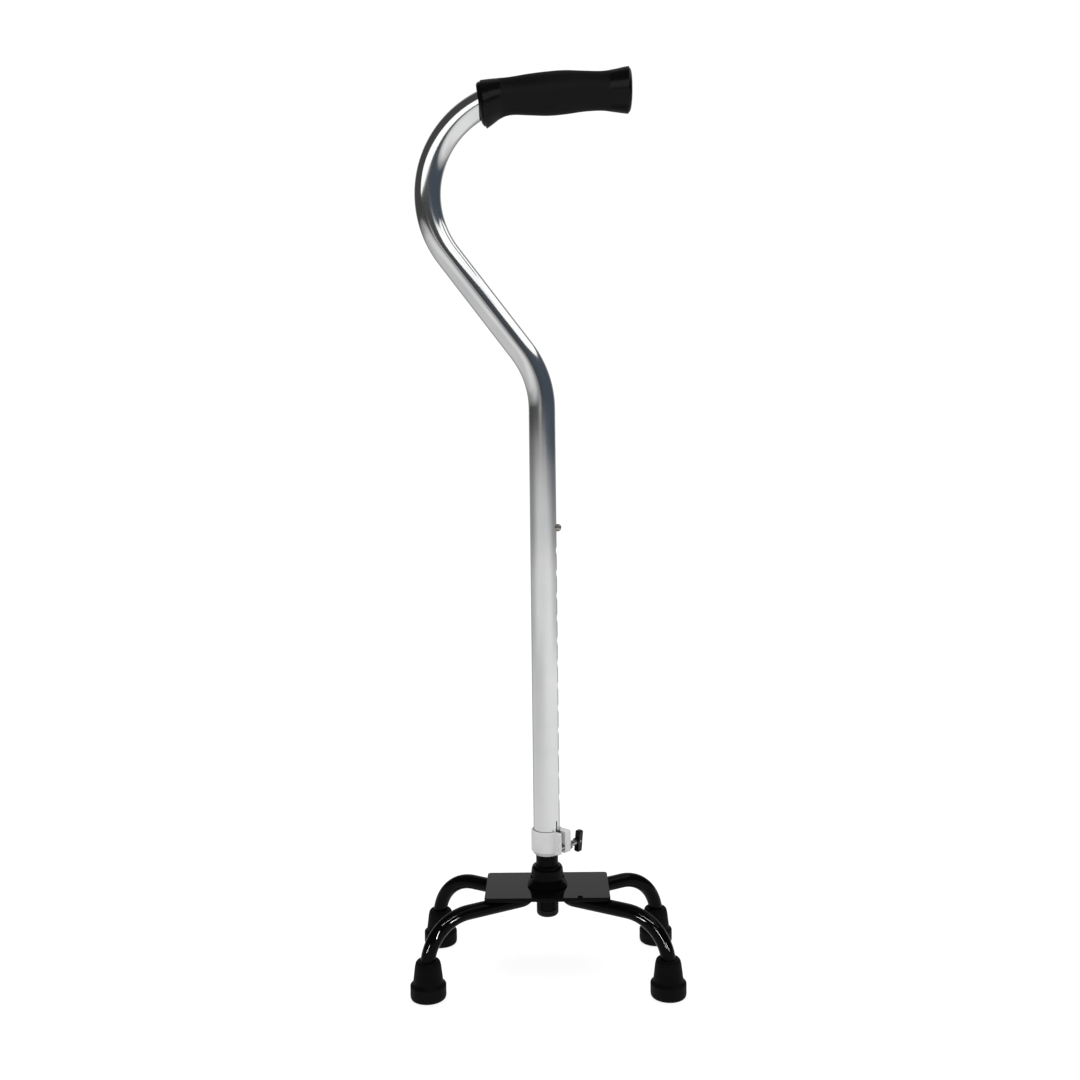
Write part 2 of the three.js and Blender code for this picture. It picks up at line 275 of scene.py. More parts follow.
def turned(name, profile, sides):
    """A solid of revolution about Z from (radius, height) pairs, from axis to axis or a loop."""
    loop = profile[0][0] > 0
    points, rings = [], []
    for r, z in profile:
        count = sides if r > 0 else 1
        rings.append(range(len(points), len(points) + count))
        points += [(x, y, z) for x, y in circle(r, sides)[:count]]
    faces = []
    for one, two in zip(rings, rings[1:] + rings[:1] if loop else rings[1:]):
        for k in range(sides):
            n = (k + 1) % sides
            if len(one) == 1:
                faces.append((one[0], two[k], two[n]))
            elif len(two) == 1:
                faces.append((one[k], one[n], two[0]))
            else:
                faces.append((one[k], one[n], two[n], two[k]))
    return solid(name, points, faces)


def quads(a, b, count, spans):
    """Faces between two rows of points, whose numbers start at a and at b."""
    for j in range(spans):
        k = (j + 1) % count
        yield a + j, a + k, b + k, b + j


def skin(name, rings, loop=False):
    """A solid through rings of equal count, capped at both ends unless it closes on itself."""
    n, last = len(rings[0]), len(rings) - 1
    faces = []
    for i in range(last + loop):
        faces += quads(i * n, (i + 1) % len(rings) * n, n, n)
    if not loop:
        faces.append(tuple(reversed(range(n))))
        faces.append(tuple(range(last * n, (last + 1) * n)))
    return solid(name, np.concatenate(rings), faces)


def rounded_path(corners, bends, step=2.5):
    """Straight runs between corners, each inner corner rounded to its radius."""
    stations = [Vector(corners[0])]
    for i, radius in enumerate(bends, 1):
        corner = Vector(corners[i])
        back = (Vector(corners[i - 1]) - corner).normalized()
        ahead = (Vector(corners[i + 1]) - corner).normalized()
        turn = pi - back.angle(ahead)
        middle = (back + ahead).normalized()
        centre = corner + middle * (radius / cos(turn / 2))
        first = corner + back * (radius * tan(turn / 2)) - centre
        last = corner + ahead * (radius * tan(turn / 2)) - centre
        axis = first.cross(last).normalized()
        count = max(2, math.ceil(math.degrees(turn) / step))
        for k in range(count + 1):
            stations.append(centre + Quaternion(axis, turn * k / count) @ first)
    stations.append(Vector(corners[-1]))
    return stations


def tangents(path):
    ahead = [(b - a).normalized() for a, b in zip(path, path[1:])]
    middle = [(a + b).normalized() for a, b in zip(ahead, ahead[1:])]
    return [ahead[0], *middle, ahead[-1]]


def frames(path, side):
    """At each station, the direction across that starts as side, and the one that completes it."""
    out = []
    along = tangents(path)
    across = Vector(side)
    for i, t in enumerate(along):
        if i:
            across = along[i - 1].rotation_difference(t) @ across
        across = (across - t * across.dot(t)).normalized()
        out.append((across, t.cross(across)))
    return out


def circle(radius, sides):
    turns = [2 * pi * k / sides for k in range(sides)]
    return [(radius * cos(turn), radius * sin(turn)) for turn in turns]


def ring_at(centre, axes, section):
    """The section's points, laid out from the centre along the two axes."""
    across, up = axes
    return np.array([centre + across * u + up * v for u, v in section])


def swept(name, path, section, side):
    return skin(name, [ring_at(*station, section) for station in zip(path, frames(path, side))])


def pipe(name, path, radius, wall, sides):
    """A tube along a path, open at both ends."""
    stations = list(zip(path, frames(path, (1, 0, 0))))
    outer, inner = circle(radius, sides), circle(radius - wall, sides)
    rings = [ring_at(*station, outer) for station in stations]
    rings += [ring_at(*station, inner) for station in reversed(stations)]
    return skin(name, rings, loop=True)


def rod(name, radius, start, end, sides):
    """A closed cylinder between two points."""
    start, end = Vector(start), Vector(end)
    side = (end - start).orthogonal()
    return swept(name, [start, end], circle(radius, sides), side)


def block(name, x0, x1, y0, y1, z0, z1):
    return prism(name, [(x0, y0), (x1, y0), (x1, y1), (x0, y1)], z0, z1)


def prism(name, outline, z0, z1):
    return skin(name, [[(x, y, z) for x, y in outline] for z in (z0, z1)])


def rounded_rectangle(x, y, radii, steps=6):
    """Corners of a rectangle of half sizes x, y; radii start at the corner (+x, +y)."""
    out = []
    signs = ((1, 1), (-1, 1), (-1, -1), (1, -1))
    for i, ((sx, sy), radius) in enumerate(zip(signs, radii)):
        centre_x, centre_y = sx * (x - radius), sy * (y - radius)
        for k in range(steps + 1):
            angle = pi / 2 * (i + k / steps)
            out.append((centre_x + radius * cos(angle), centre_y + radius * sin(angle)))
    return out


def dressed(piece, material, slot, body, *nodes):
    """The piece gets its material, stands for its CAD nodes and moves with its body."""
    painted(piece, material)
    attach(piece, body)
    if nodes:
        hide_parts(*nodes)
    return piece


# ---- material helpers ----
class Nodes:
    """A short way to write a material's node tree."""

    def __init__(self, name):
        self.material = bpy.data.materials.new(name)
        self.material.use_nodes = True
        self.tree = self.material.node_tree
        self.shader = self.tree.nodes["Principled BSDF"]

    def add(self, kind, inputs=None, **settings):
        """A node with its inputs set or linked."""
        node = self.tree.nodes.new("ShaderNode" + kind)
        for key, value in settings.items():
            setattr(node, key, value)
        for key, value in (inputs or {}).items():
            self.put(node.inputs[key], value)
        return node

    def put(self, socket, value):
        if isinstance(value, bpy.types.NodeSocket):
            self.tree.links.new(value, socket)
        else:
            socket.default_value = value

    def set(self, **values):
        for key, value in values.items():
            self.put(self.shader.inputs[key.replace("_", " ")], value)

    def read(self, attribute):
        return self.add("Attribute", attribute_name=attribute).outputs["Vector"]

    def place(self, scale=(1, 1, 1), attribute=None):
        """Object coordinates in millimetres, or an attribute's, times scale."""
        source = self.read(attribute) if attribute else self.add("TexCoord").outputs["Object"]
        size = tuple(s / MM for s in scale)
        return self.add("Mapping", {"Vector": source, "Scale": size}).outputs[0]

    def noise(self, scale, detail, roughness=0.55, place=None):
        if place is None:
            place = self.place()
        inputs = {"Vector": place, "Scale": scale, "Detail": detail, "Roughness": roughness}
        return self.add("TexNoise", inputs).outputs[0]

    def spread(self, value, low_in, high_in, low_out=0, high_out=1, kind="LINEAR"):
        """A value mapped from one range to another, held at its ends."""
        inputs = {"Value": value, "From Min": low_in, "From Max": high_in}
        inputs.update({"To Min": low_out, "To Max": high_out})
        return self.add("MapRange", inputs, interpolation_type=kind).outputs[0]

    def ease(self, value, low_in, high_in, low_out=0, high_out=1):
        """The same, easing in and out."""
        return self.spread(value, low_in, high_in, low_out, high_out, "SMOOTHSTEP")

    def math(self, operation, a, b=0.0):
        return self.add("Math", {0: a, 1: b}, operation=operation).outputs[0]

    def times(self, a, b):
        return self.math("MULTIPLY", a, b)

    def plus(self, a, b):
        return self.math("ADD", a, b)

    def blend(self, factor, one, two):
        """A colour between two others."""
        one, two = ((*c, 1) if isinstance(c, tuple) else c for c in (one, two))
        return self.add("Mix", {0: factor, 6: one, 7: two}, data_type="RGBA").outputs[2]

    def bumped(self, height, strength, distance):
        """The material with bumps; distance is the millimetres that height's range stands for."""
        inputs = {"Height": height, "Strength": strength, "Distance": distance * MM}
        self.set(Normal=self.add("Bump", inputs).outputs[0])
        return self.material


def grey(value, tint=(1, 1, 1)):
    return tuple(value * t for t in tint)


# ---- materials ----
def anodised_aluminium():
    """Drawn tube: fine lines along its length under a satin anodised skin."""
    m = Nodes("anodised_aluminium")
    lines = m.noise(3.2, 4, 0.7, m.place((1, 1, 0.012), "drawn"))
    haze = m.noise(0.035, 3)
    specks = m.noise(1.1, 2)
    colour = m.blend(m.spread(haze, 0.3, 0.7), grey(0.70, (0.99, 1, 1.01)), grey(0.75))
    m.set(Base_Color=colour, Metallic=1.0)
    satin = m.spread(lines, 0.25, 0.75, 0.075, 0.125)
    m.set(Roughness=m.plus(satin, m.spread(specks, 0.35, 0.75, 0, 0.02)))
    return m.bumped(lines, 0.12, 0.012)


def grip_vinyl():
    """Moulded black vinyl: grained between two polished end bands."""
    m = Nodes("grip_vinyl")
    along = m.add("SeparateXYZ", {"Vector": m.place()}).outputs[0]
    left = m.ease(along, GRIP_BANDS[0] - 0.3, GRIP_BANDS[0] + 0.3)
    right = m.ease(along, GRIP_BANDS[1] - 0.3, GRIP_BANDS[1] + 0.3, 1, 0)
    grained = m.times(left, right)
    grain = m.noise(1.6, 4, 0.6)
    cells = m.add("TexVoronoi", {"Vector": m.place(), "Scale": 1.15}).outputs[0]
    cloud = m.noise(0.06, 3)
    m.set(Base_Color=m.blend(cloud, grey(0.0012), grey(0.0022, (1, 1, 0.98))))
    m.set(Specular_IOR_Level=0.13)
    matt = m.spread(grain, 0.3, 0.7, 0.44, 0.56)
    glossy = m.spread(cloud, 0.3, 0.7, 0.17, 0.24)
    rough = m.add("Mix", {0: grained, 2: glossy, 3: matt}, data_type="FLOAT")
    m.set(Roughness=rough.outputs[0])
    height = m.times(m.plus(grain, cells), grained)
    return m.bumped(height, 0.35, 0.05)


def moulded_plastic(name, colour, rough, grain=0.3, shine=0.5):
    """Injection-moulded plastic with a fine spark-eroded grain."""
    m = Nodes(name)
    m.set(Specular_IOR_Level=shine)
    fine = m.noise(3.0, 3, 0.6)
    cloud = m.noise(0.12, 3)
    m.set(Base_Color=m.blend(cloud, grey(colour), grey(colour * 1.12, (1, 1, 0.99))))
    m.set(Roughness=m.spread(fine, 0.3, 0.7, rough - 0.05, rough + 0.07))
    return m.bumped(fine, grain, 0.02)


def black_enamel():
    """Stoved gloss black enamel with a trace of orange peel."""
    m = Nodes("black_enamel")
    peel = m.noise(0.42, 2, 0.4)
    dust = m.noise(2.6, 3, 0.7)
    cloud = m.noise(0.05, 2)
    m.set(Base_Color=m.blend(cloud, grey(0.0010), grey(0.0018, (0.98, 1, 1.03))))
    m.set(Roughness=m.spread(dust, 0.55, 0.8, 0.03, 0.06), Specular_IOR_Level=0.06)
    return m.bumped(peel, 0.08, 0.02)


def black_tube():
    """Black anodised inner tube, satin, with rubbing marks along it from the outer tube."""
    m = Nodes("black_tube")
    lines = m.noise(2.4, 4, 0.7, m.place((1, 1, 0.02)))
    cloud = m.noise(0.08, 3)
    worn = m.ease(lines, 0.62, 0.8, 0, 0.35)
    m.set(Base_Color=m.blend(worn, grey(0.0010), grey(0.004)), Specular_IOR_Level=0.06)
    m.set(Roughness=m.plus(m.spread(cloud, 0.3, 0.7, 0.22, 0.3), m.times(worn, 0.2)))
    return m.bumped(lines, 0.15, 0.012)


def plated(name, colour, rough):
    """Bright plating over machined metal, with turning marks."""
    m = Nodes(name)
    fine = m.noise(4.0, 4, 0.65)
    cloud = m.noise(0.4, 3)
    dull = tuple(c * 0.82 for c in colour)
    m.set(Base_Color=m.blend(m.spread(cloud, 0.35, 0.7), dull, colour), Metallic=1.0)
    m.set(Roughness=m.spread(fine, 0.3, 0.7, rough - 0.05, rough + 0.08))
    return m.bumped(fine, 0.15, 0.01)


def tip_rubber():
    """Matt black rubber with a faint bloom and moulding grain."""
    m = Nodes("tip_rubber")
    grain = m.noise(1.8, 4, 0.65)
    bloom = m.noise(0.09, 4, 0.6)
    shade = m.ease(bloom, 0.4, 0.75)
    m.set(Base_Color=m.blend(shade, grey(0.0014), grey(0.0028, (1, 1, 0.99))))
    m.set(Roughness=m.spread(grain, 0.3, 0.7, 0.55, 0.72), Specular_IOR_Level=0.08)
    return m.bumped(grain, 0.35, 0.05)


def studio_white():
    """Matt white paint of the studio's floor and walls."""
    m = Nodes("studio_white")
    mottle = m.noise(0.002, 2)
    m.set(Base_Color=m.blend(mottle, grey(0.20), grey(0.21)), Roughness=0.9)
    m.set(Emission_Color=(1, 1, 1, 1), Emission_Strength=0.84, Specular_IOR_Level=0.05)
    return m.material


# ---- the outer tube ----
def handle_path(end_x):
    lean_run = (HANDLE_Z - LOWER_CORNER_Z) * tan(LEAN)
    shaft = [(0, 0, TUBE_BOTTOM), (0, 0, LOWER_CORNER_Z)]
    corners = [*shaft, (-lean_run, 0, HANDLE_Z), (end_x, 0, HANDLE_Z)]
    return rounded_path(corners, [LOWER_BEND_R, UPPER_BEND_R])


PATCH = 4  # cells from a hole's centre to the edge of the square patch around it
PITCH_CELLS = 16
CELL = HOLE_PITCH / PITCH_CELLS
CELL_TURN = CELL / TUBE_R


def tube_columns():
    """The angles of the tube's mesh columns: fine across the holes, one column for the slit."""
    patch = [CELL_TURN * k for k in range(-PATCH, PATCH + 1)]
    half_slit = SLIT_WIDTH / 2 / TUBE_R
    slit = [CLAMP_AZIMUTH - half_slit, CLAMP_AZIMUTH + half_slit]
    before = (slit[1] + patch[0]) / 2
    start = patch[-1]
    end = slit[0] + 2 * pi
    rest = 44
    around = [start + (end - start) * k / rest for k in range(1, rest)]
    return [*slit, before, *patch, *around]


def tube_rows():
    """Heights of the mesh rows along the straight shaft."""
    first = BUTTON_Z - HOLE_PITCH * (HOLE_COUNT - 1) - PATCH * CELL
    last = BUTTON_Z + PATCH * CELL
    count = round((last - first) / CELL)
    fine = [first + CELL * k for k in range(count + 1)]
    below = [TUBE_BOTTOM + (SLIT_TOP - TUBE_BOTTOM) * k / 12 for k in range(13)]
    between = [SLIT_TOP + (first - SLIT_TOP) * k / 8 for k in range(1, 8)]
    bend_start = LOWER_CORNER_Z - LOWER_BEND_R * tan(LEAN / 2)
    above = [last + (bend_start - last) * k / 12 for k in range(1, 12)]
    return below, between, fine, above


def patch_square(row, column):
    """The (row, column) places round a hole's square patch, from its first corner."""
    side = range(2 * PATCH)
    far_row, far_column = row + 2 * PATCH, column + 2 * PATCH
    square = [(row, column + step) for step in side]
    square += [(row + step, far_column) for step in side]
    square += [(far_row, far_column - step) for step in side]
    square += [(far_row - step, column) for step in side]
    return square


def edges_of(face):
    return zip(face, face[1:] + face[:1])


def open_edge_walls(faces, count):
    """Faces between the open edges of a sheet and those of its copy, whose points come count later."""
    edges = [edge for face in faces for edge in edges_of(face)]
    uses = Counter(frozenset(edge) for edge in edges)
    return [(b, a, a + count, b + count) for a, b in edges if uses[frozenset((a, b))] == 1]


def handle_tube():
    """The bent tube with its wall, slit and round holes, as one mesh of quads."""
    below, between, fine, above = tube_rows()
    levels = below + between + fine + above
    path = [Vector((0, 0, z)) for z in levels] + handle_path(TUBE_END_X)[1:]
    along = frames(path, (1, 0, 0))
    length = np.concatenate([[0], np.cumsum([(b - a).length for a, b in zip(path, path[1:])])])
    turns = tube_columns()
    columns = len(turns)
    inner_r = TUBE_R - TUBE_WALL

    # the points of both skins, and where each lies on the drawn tube, for the material
    outer, inner, drawn, faces = [], [], [], []
    for centre, (across, up), run in zip(path, along, length):
        for turn in turns:
            way = across * cos(turn) + up * sin(turn)
            outer.append(centre + way * TUBE_R)
            inner.append(centre + way * inner_r)
            drawn.append((TUBE_R * cos(turn), TUBE_R * sin(turn), run))

    patch_left = 3  # the column at which the holes' patches start
    hole_rows = [len(below) + len(between) + PITCH_CELLS * k for k in range(HOLE_COUNT)]
    patch_rows = {row + step for row in hole_rows for step in range(2 * PATCH)}
    patch_columns = range(patch_left, patch_left + 2 * PATCH)
    for row in range(len(path) - 1):
        for column in range(columns):
            in_slit = column == 0 and row < len(below) - 1
            if in_slit or (row in patch_rows and column in patch_columns):
                continue
            a, b = row * columns, (row + 1) * columns
            c, d = column, (column + 1) % columns
            faces.append((a + c, a + d, b + d, b + c))

    # each patch: rings of quads from the square out of the sheet to the hole's round edge
    for base in hole_rows:
        square = patch_square(base, patch_left)
        centre_z = levels[base + PATCH]
        rings = [[row * columns + column for row, column in square]]
        for share in (0.55, 1.0):
            ring = []
            for row, column in square:
                y = TUBE_R * sin(turns[column])
                z = levels[row] - centre_z
                angle = math.atan2(z, y)
                y = y + (HOLE_R * cos(angle) - y) * share
                z = z + (HOLE_R * sin(angle) - z) * share
                ring.append(len(outer))
                for points, radius in ((outer, TUBE_R), (inner, inner_r)):
                    points.append(Vector((math.sqrt(radius**2 - y**2), y, centre_z + z)))
                drawn.append((math.sqrt(TUBE_R**2 - y**2), y, length[base + PATCH] + z))
            rings.append(ring)
        for one, two in zip(rings, rings[1:]):
            for (a, b), (c, d) in zip(edges_of(one), edges_of(two)):
                faces.append((a, b, d, c))

    count = len(outer)
    inside = [tuple(v + count for v in reversed(face)) for face in faces]
    used = sorted({v for face in faces + inside for v in face})
    renumber = {v: i for i, v in enumerate(used)}
    shell = faces + inside + open_edge_walls(faces, count)
    shell = [tuple(renumber[v] for v in face) for face in shell]
    tube = solid("outer_tube", np.array(outer + inner)[used], shell)
    point_vectors(tube.data, "drawn", np.array(drawn + drawn)[used] * MM)
    eased(tube, 0.22, 2, 50)
    dressed(shaded(tube, 60), anodised_aluminium(), "anodised_tube", "handle", "handle_tube")


# ---- the grip ----
# the grip's outline, from the gooseneck end: top X, top Z, bottom X, bottom Z
GRIP_OUTLINE = [(-47.6, 747.2, -42.9, 708.6), (-41, 748, -38.5, 711.6), (-31, 748.9, -31, 716.8)]
GRIP_OUTLINE += [(-22, 749.9, -22, 719.2), (-8, 752, -8, 718.8), (8, 753.7, 8, 718.2)]
GRIP_OUTLINE += [(22, 754.5, 22, 719.2), (38, 753.9, 38, 721.2), (52, 753.5, 52, 721.8)]
GRIP_OUTLINE += [(62, 754.6, 62, 720.8), (70, 756.2, 70, 719.7), (74.3, 756.9, 74.3, 719.2)]
GRIP_BANDS = (-31, 59)  # the grained middle lies between the two polished bands
GRIP_FLATTENING = 0.9
GRIP_FACE = (-51.9, 744.5, -47.3, 712.5)  # the end that the tube goes into
GRIP_END_X = high("hand_grip").x


def curve_through(stations, steps):
    """Catmull-Rom curve through the stations."""
    rows = [np.array(s, float) for s in stations]
    rows = [2 * rows[0] - rows[1], *rows, 2 * rows[-1] - rows[-2]]
    out = []
    for a, b, c, d in zip(rows, rows[1:], rows[2:], rows[3:]):
        second = 2 * a - 5 * b + 4 * c - d
        third = 3 * b - a - 3 * c + d
        for k in range(steps):
            t = k / steps
            out.append(0.5 * (2 * b + (c - a) * t + second * t**2 + third * t**3))
    out.append(rows[-2])
    return out


def grip_ring(station, inset):
    """The grip's oval section at a station, drawn in by an inset."""
    sides = 72
    top, bottom = np.array(station[:2]), np.array(station[2:])
    middle, half = (top + bottom) / 2, (top - bottom) / 2
    height = np.linalg.norm(half)
    ring = []
    for k in range(sides):
        angle = 2 * pi * k / sides
        x, z = middle + half * ((height - inset) / height) * cos(angle)
        ring.append((x, (height * GRIP_FLATTENING - inset) * sin(angle), z))
    return ring


def hand_grip():
    """The grip, from the lip at the gooseneck end to the domed free end."""
    body = curve_through(GRIP_OUTLINE, 5)
    face, first = np.array(GRIP_FACE), body[0]
    rings = []
    # the rounded lip, and a fine groove behind it
    lip_round, lip_share = 1.4, 0.34
    for turn in range(0, 91, 15):
        angle = radians(turn)
        share = lip_share * (1 - cos(angle))
        rings.append(grip_ring(face + (first - face) * share, lip_round * (1 - sin(angle))))
    for share, inset in ((0.58, 0), (0.64, 0.4), (0.72, 0.45), (0.8, 0.1), (0.88, 0)):
        rings.append(grip_ring(face + (first - face) * share, inset))
    grain_depth = 0.16
    for station in body:
        middle = GRIP_BANDS[0] < (station[0] + station[2]) / 2 < GRIP_BANDS[1]
        rings.append(grip_ring(station, grain_depth if middle else 0.0))
    # the rim at the free end, a fine crease, and the domed end
    rim = body[-1]
    outwards = np.array((1, 0, 1, 0))
    rim_length, rim_round, crease = 1.1, 0.9, 1.3
    for turn in range(15, 76, 15):
        angle = radians(turn)
        step = outwards * rim_length * sin(angle)
        rings.append(grip_ring(rim + step, rim_round * (1 - cos(angle))))
    rings.append(grip_ring(rim + outwards * 1.08, 1.2))
    dome_rings = 9
    dome_length = GRIP_END_X - rim[0] - rim_length
    dome_drop = ((rim[1] - rim[3]) / 2 - crease) * 0.9
    for k in range(dome_rings):
        angle = pi / 2 * (k + 0.35) / dome_rings
        step = outwards * (rim_length + dome_length * sin(angle) ** 0.8)
        rings.append(grip_ring(rim + step, crease + dome_drop * (1 - cos(angle))))
    grip = skin("grip", rings)
    bore = swept("grip_bore", handle_path(TUBE_END_X + 2.4), circle(TUBE_R + 0.4, 56), (1, 0, 0))
    carved(grip, bore)
    dressed(shaded(grip, 38), grip_vinyl(), "grip", "handle", "hand_grip")


# ---- the clamp, drawn with its ears along +X and its screw along +Y ----
def clamp_place(piece):
    return placed(piece, angle=CLAMP_AZIMUTH)


def screw_place(piece, angle, axis):
    placed(piece, (SCREW_OUT, 0, SCREW_Z), angle, axis)
    return clamp_place(piece)


def ear(name, y0, y1):
    half_x, half_z = (EAR_TIP - EAR_ROOT) / 2, (COLLAR_TOP - EAR_BOTTOM) / 2
    piece = prism(name, rounded_rectangle(half_x, half_z, (1.6, 0.3, 0.3, 1.6)), 0, y1 - y0)
    return placed(piece, ((EAR_TIP + EAR_ROOT) / 2, y1, (COLLAR_TOP + EAR_BOTTOM) / 2), pi / 2, "X")


def locking_collar():
    """The clamp ring with its two ears, the walls of its split darkened as painted shade."""
    corners = [(0, COLLAR_BOTTOM, 0), (COLLAR_LIP_R + 0.9, COLLAR_BOTTOM, 0.3)]
    corners += [(COLLAR_R, COLLAR_BOTTOM + COLLAR_CONE, 1.2), (COLLAR_R, COLLAR_TOP, 0.6)]
    corners += [(0, COLLAR_TOP, 0)]
    collar = turned("collar", softened(corners), 72)
    near, far = SPLIT
    joined(collar, ear("thin_ear", near - THIN_EAR, near))
    joined(collar, ear("thick_ear", far, far + THICK_EAR))
    screw_ends = [(SCREW_OUT, y, SCREW_Z) for y in (near - THIN_EAR + 0.6, far + THICK_EAR + 1)]
    carved(
        collar,
        rod("bore", COLLAR_BORE_R, (0, 0, COLLAR_FLOOR_Z), (0, 0, COLLAR_TOP + 1), 72),
        rod("lip", COLLAR_LIP_R, (0, 0, COLLAR_BOTTOM - 1), (0, 0, COLLAR_FLOOR_Z + 1), 72),
        block("split", EAR_ROOT, EAR_TIP + 1, near, far, SPLIT_BOTTOM, COLLAR_TOP + 1),
        rod("screw_hole", SCREW_HOLE_R, *screw_ends, 32),
    )
    merged(collar)
    eased(collar, 0.3, 2, 40)
    shaded(collar, 40)
    # the split's side walls, which get a near-black plastic as painted shade
    painted_shade_faces = []
    for face in collar.data.polygons:
        x, y, z = face.center / MM
        in_split = x > COLLAR_BORE_R and near - 0.1 < y < far + 0.1 and z > SPLIT_BOTTOM
        if in_split and abs(face.normal.y) > 0.9:
            painted_shade_faces.append(face.index)
    clamp_place(collar)
    dressed(collar, moulded_plastic("collar_plastic", 0.53, 0.42), "collar", "handle", "locking_collar")
    # painted shade: a near-black plastic on the split's walls, standing in for the shadow inside the gap
    collar.data.materials.append(moulded_plastic("cleft_painted_shade", 0.05, 0.6, 0.3, 0.2))
    for index in painted_shade_faces:
        collar.data.polygons[index].material_index = 1


def threaded_rod(start, end):
    """The screw's threaded part, along Z."""
    sides, depth, pitch = 40, 0.42, THREAD_PITCH
    rows = round((end - start) / pitch * 8)
    rings = []
    for row in range(rows + 1):
        z = start + (end - start) * row / rows
        fade = min(1, (z - start) / pitch, (end - z) / pitch)
        ring = []
        for k in range(sides):
            turn = k / sides
            wave = abs(2 * ((z / pitch - turn) % 1) - 1)
            r = SCREW_R - depth * fade * wave
            ring.append((r * cos(2 * pi * turn), r * sin(2 * pi * turn), z))
        rings.append(ring)
    return skin("screw", rings)


def thumbscrew_shank():
    seat = SPLIT[1] + THICK_EAR + 0.3
    start = SPLIT[0] - THIN_EAR + 0.9
    thread = threaded_rod(start, seat + 0.4)
    end = KNOB_START + KNOB_DEPTH - 1.5
    front = seat + SHOULDER_T
    corners = [(0, seat, 0), (SHOULDER_R, seat, 0.25), (SHOULDER_R, front, 0.25)]
    corners += [(SCREW_R, front, 0.4), (SCREW_R, end, 0.3), (0, end, 0)]
    joined(thread, turned("shoulder", softened(corners), 48))
    screw_place(thread, -pi / 2, "X")
    shaded(thread, 35)
    zinc = plated("zinc_plating", (0.46, 0.46, 0.45), 0.24)
    dressed(thread, zinc, "zinc_steel", "thumbscrew_shank", "thumbscrew_shank")


def thumbscrew_knob():
    half_x, half_z = KNOB_THICK / 2, KNOB_HEIGHT / 2
    outline = rounded_rectangle(half_x, half_z, (1.2,) * 4, 5)
    rings = []
    bevel = 0.8
    knob_end = KNOB_START + KNOB_DEPTH
    for y, side in ((KNOB_START + bevel, -1), (knob_end - bevel, 1)):
        turns = range(0, 91, 18)
        for turn in turns if side > 0 else reversed(turns):
            angle = radians(turn)
            inset = bevel * (1 - cos(angle))
            shrink_x, shrink_z = (half_x - inset) / half_x, (half_z - inset) / half_z
            depth = y + side * bevel * sin(angle)
            rings.append([(x * shrink_x, depth, z * shrink_z) for x, z in outline])
    knob = skin("thumb_bar", rings)
    boss = turned("boss", softened([(0, -1, 0), (3.1, -1, 0), (3.3, 2.2, 0.5), (0, 2.2, 0)]), 48)
    joined(knob, placed(boss, (0, KNOB_START, 0), pi / 2, "X"))
    socket = rod("socket", SCREW_HOLE_R, (0, KNOB_START - 4, 0), (0, knob_end - 1.2, 0), 32)
    # the mould's parting line, a fine groove round the bar at mid height
    groove = 0.16
    core_x = half_x - groove
    parting = block("parting", -9, 9, KNOB_START - 1, knob_end + 1, -groove / 2, groove / 2)
    carved(parting, block("core", -core_x, core_x, KNOB_START + groove, knob_end - groove, -1, 1))
    carved(knob, socket, parting)
    shaded(knob, 38)
    screw_place(knob, KNOB_TILT, "Y")
    plastic = moulded_plastic("knob_plastic", 0.002, 0.3, 0.2, 0.2)
    dressed(knob, plastic, "black_plastic", "thumbscrew_knob", "thumbscrew_knob")


# ---- the post and the snap button ----
def inner_tube():
    edge = 0.3
    inside, middle = POST_R - POST_WALL, (POST_BOTTOM + POST_TOP) / 2
    corners = [(inside, middle, 0), (inside, POST_BOTTOM, edge), (POST_R, POST_BOTTOM, edge)]
    corners += [(POST_R, POST_TOP, edge), (inside, POST_TOP, edge), (inside, middle + 1, 0)]
    post = turned("post", softened(corners, 3), 72)
    carved(post, rod("button_hole", HOLE_R, (0, 0, BUTTON_Z), (POST_R + 5, 0, BUTTON_Z), 40))
    dressed(shaded(post, 40), black_tube(), "black_tube", "base", "inner_tube")


def post_end_plug():
    bottom = low("post_end_plug").z
    seat = POST_BOTTOM - 0.3
    stem = POST_R - POST_WALL - 0.4
    corners = [(0, bottom + 0.4, 0), (2.6, bottom + 0.4, 0.3), (3.0, bottom, 0.3), (POST_R, bottom, 5.2)]
    corners += [(POST_R, seat, 0.25), (stem, seat, 0.2), (stem, seat + 10, 0.6), (0, seat + 10, 0)]
    plug = shaded(turned("end_plug", softened(corners, 8), 64), 40)
    plastic = moulded_plastic("plug_plastic", 0.0015, 0.36, 0.3, 0.15)
    dressed(plug, plastic, "black_plastic", "base", "post_end_plug")


def snap_button():
    lo, hi = low("snap_button"), high("snap_button")
    flange_r, button_r, dome = hi.y, 3.15, 2.8
    flange = lo.x + 0.9
    corners = [(0, lo.x, 0), (flange_r, lo.x, 0.15), (flange_r, flange, 0.15), (button_r, flange, 0.2)]
    profile = softened([*corners, (button_r, hi.x - dome, 0)], 3)
    steps = 10
    for k in range(1, steps + 1):
        angle = pi / 2 * k / steps
        r = 0 if k == steps else button_r * cos(angle)
        profile.append((r, hi.x - dome + dome * sin(angle)))
    button = turned("push_button", profile, 48)
    placed(button, (0, 0, BUTTON_Z), pi / 2, "Y")
    shaded(button, 40)
    nickel = plated("nickel", (0.36, 0.33, 0.3), 0.24)
    dressed(button, nickel, "nickel", "snap_button", "snap_button")


def button_spring():
    width, thick, back, heel_z = 5, 0.6, -6.7, 327
    corners = [(back, 0, BUTTON_Z + 5), (back, 0, heel_z), (4.4, 0, BUTTON_Z + 4)]
    path = rounded_path(corners, [1.2], 15)
    section = rounded_rectangle(thick / 2, width / 2, (0.2,) * 4, 2)
    spring = swept("spring", path, section, (1, 0, 0))
    shaded(spring, 40)
    dressed(spring, plated("spring_steel", (0.5, 0.5, 0.49), 0.28), "zinc_steel", "base", "button_spring")
    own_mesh(spring)


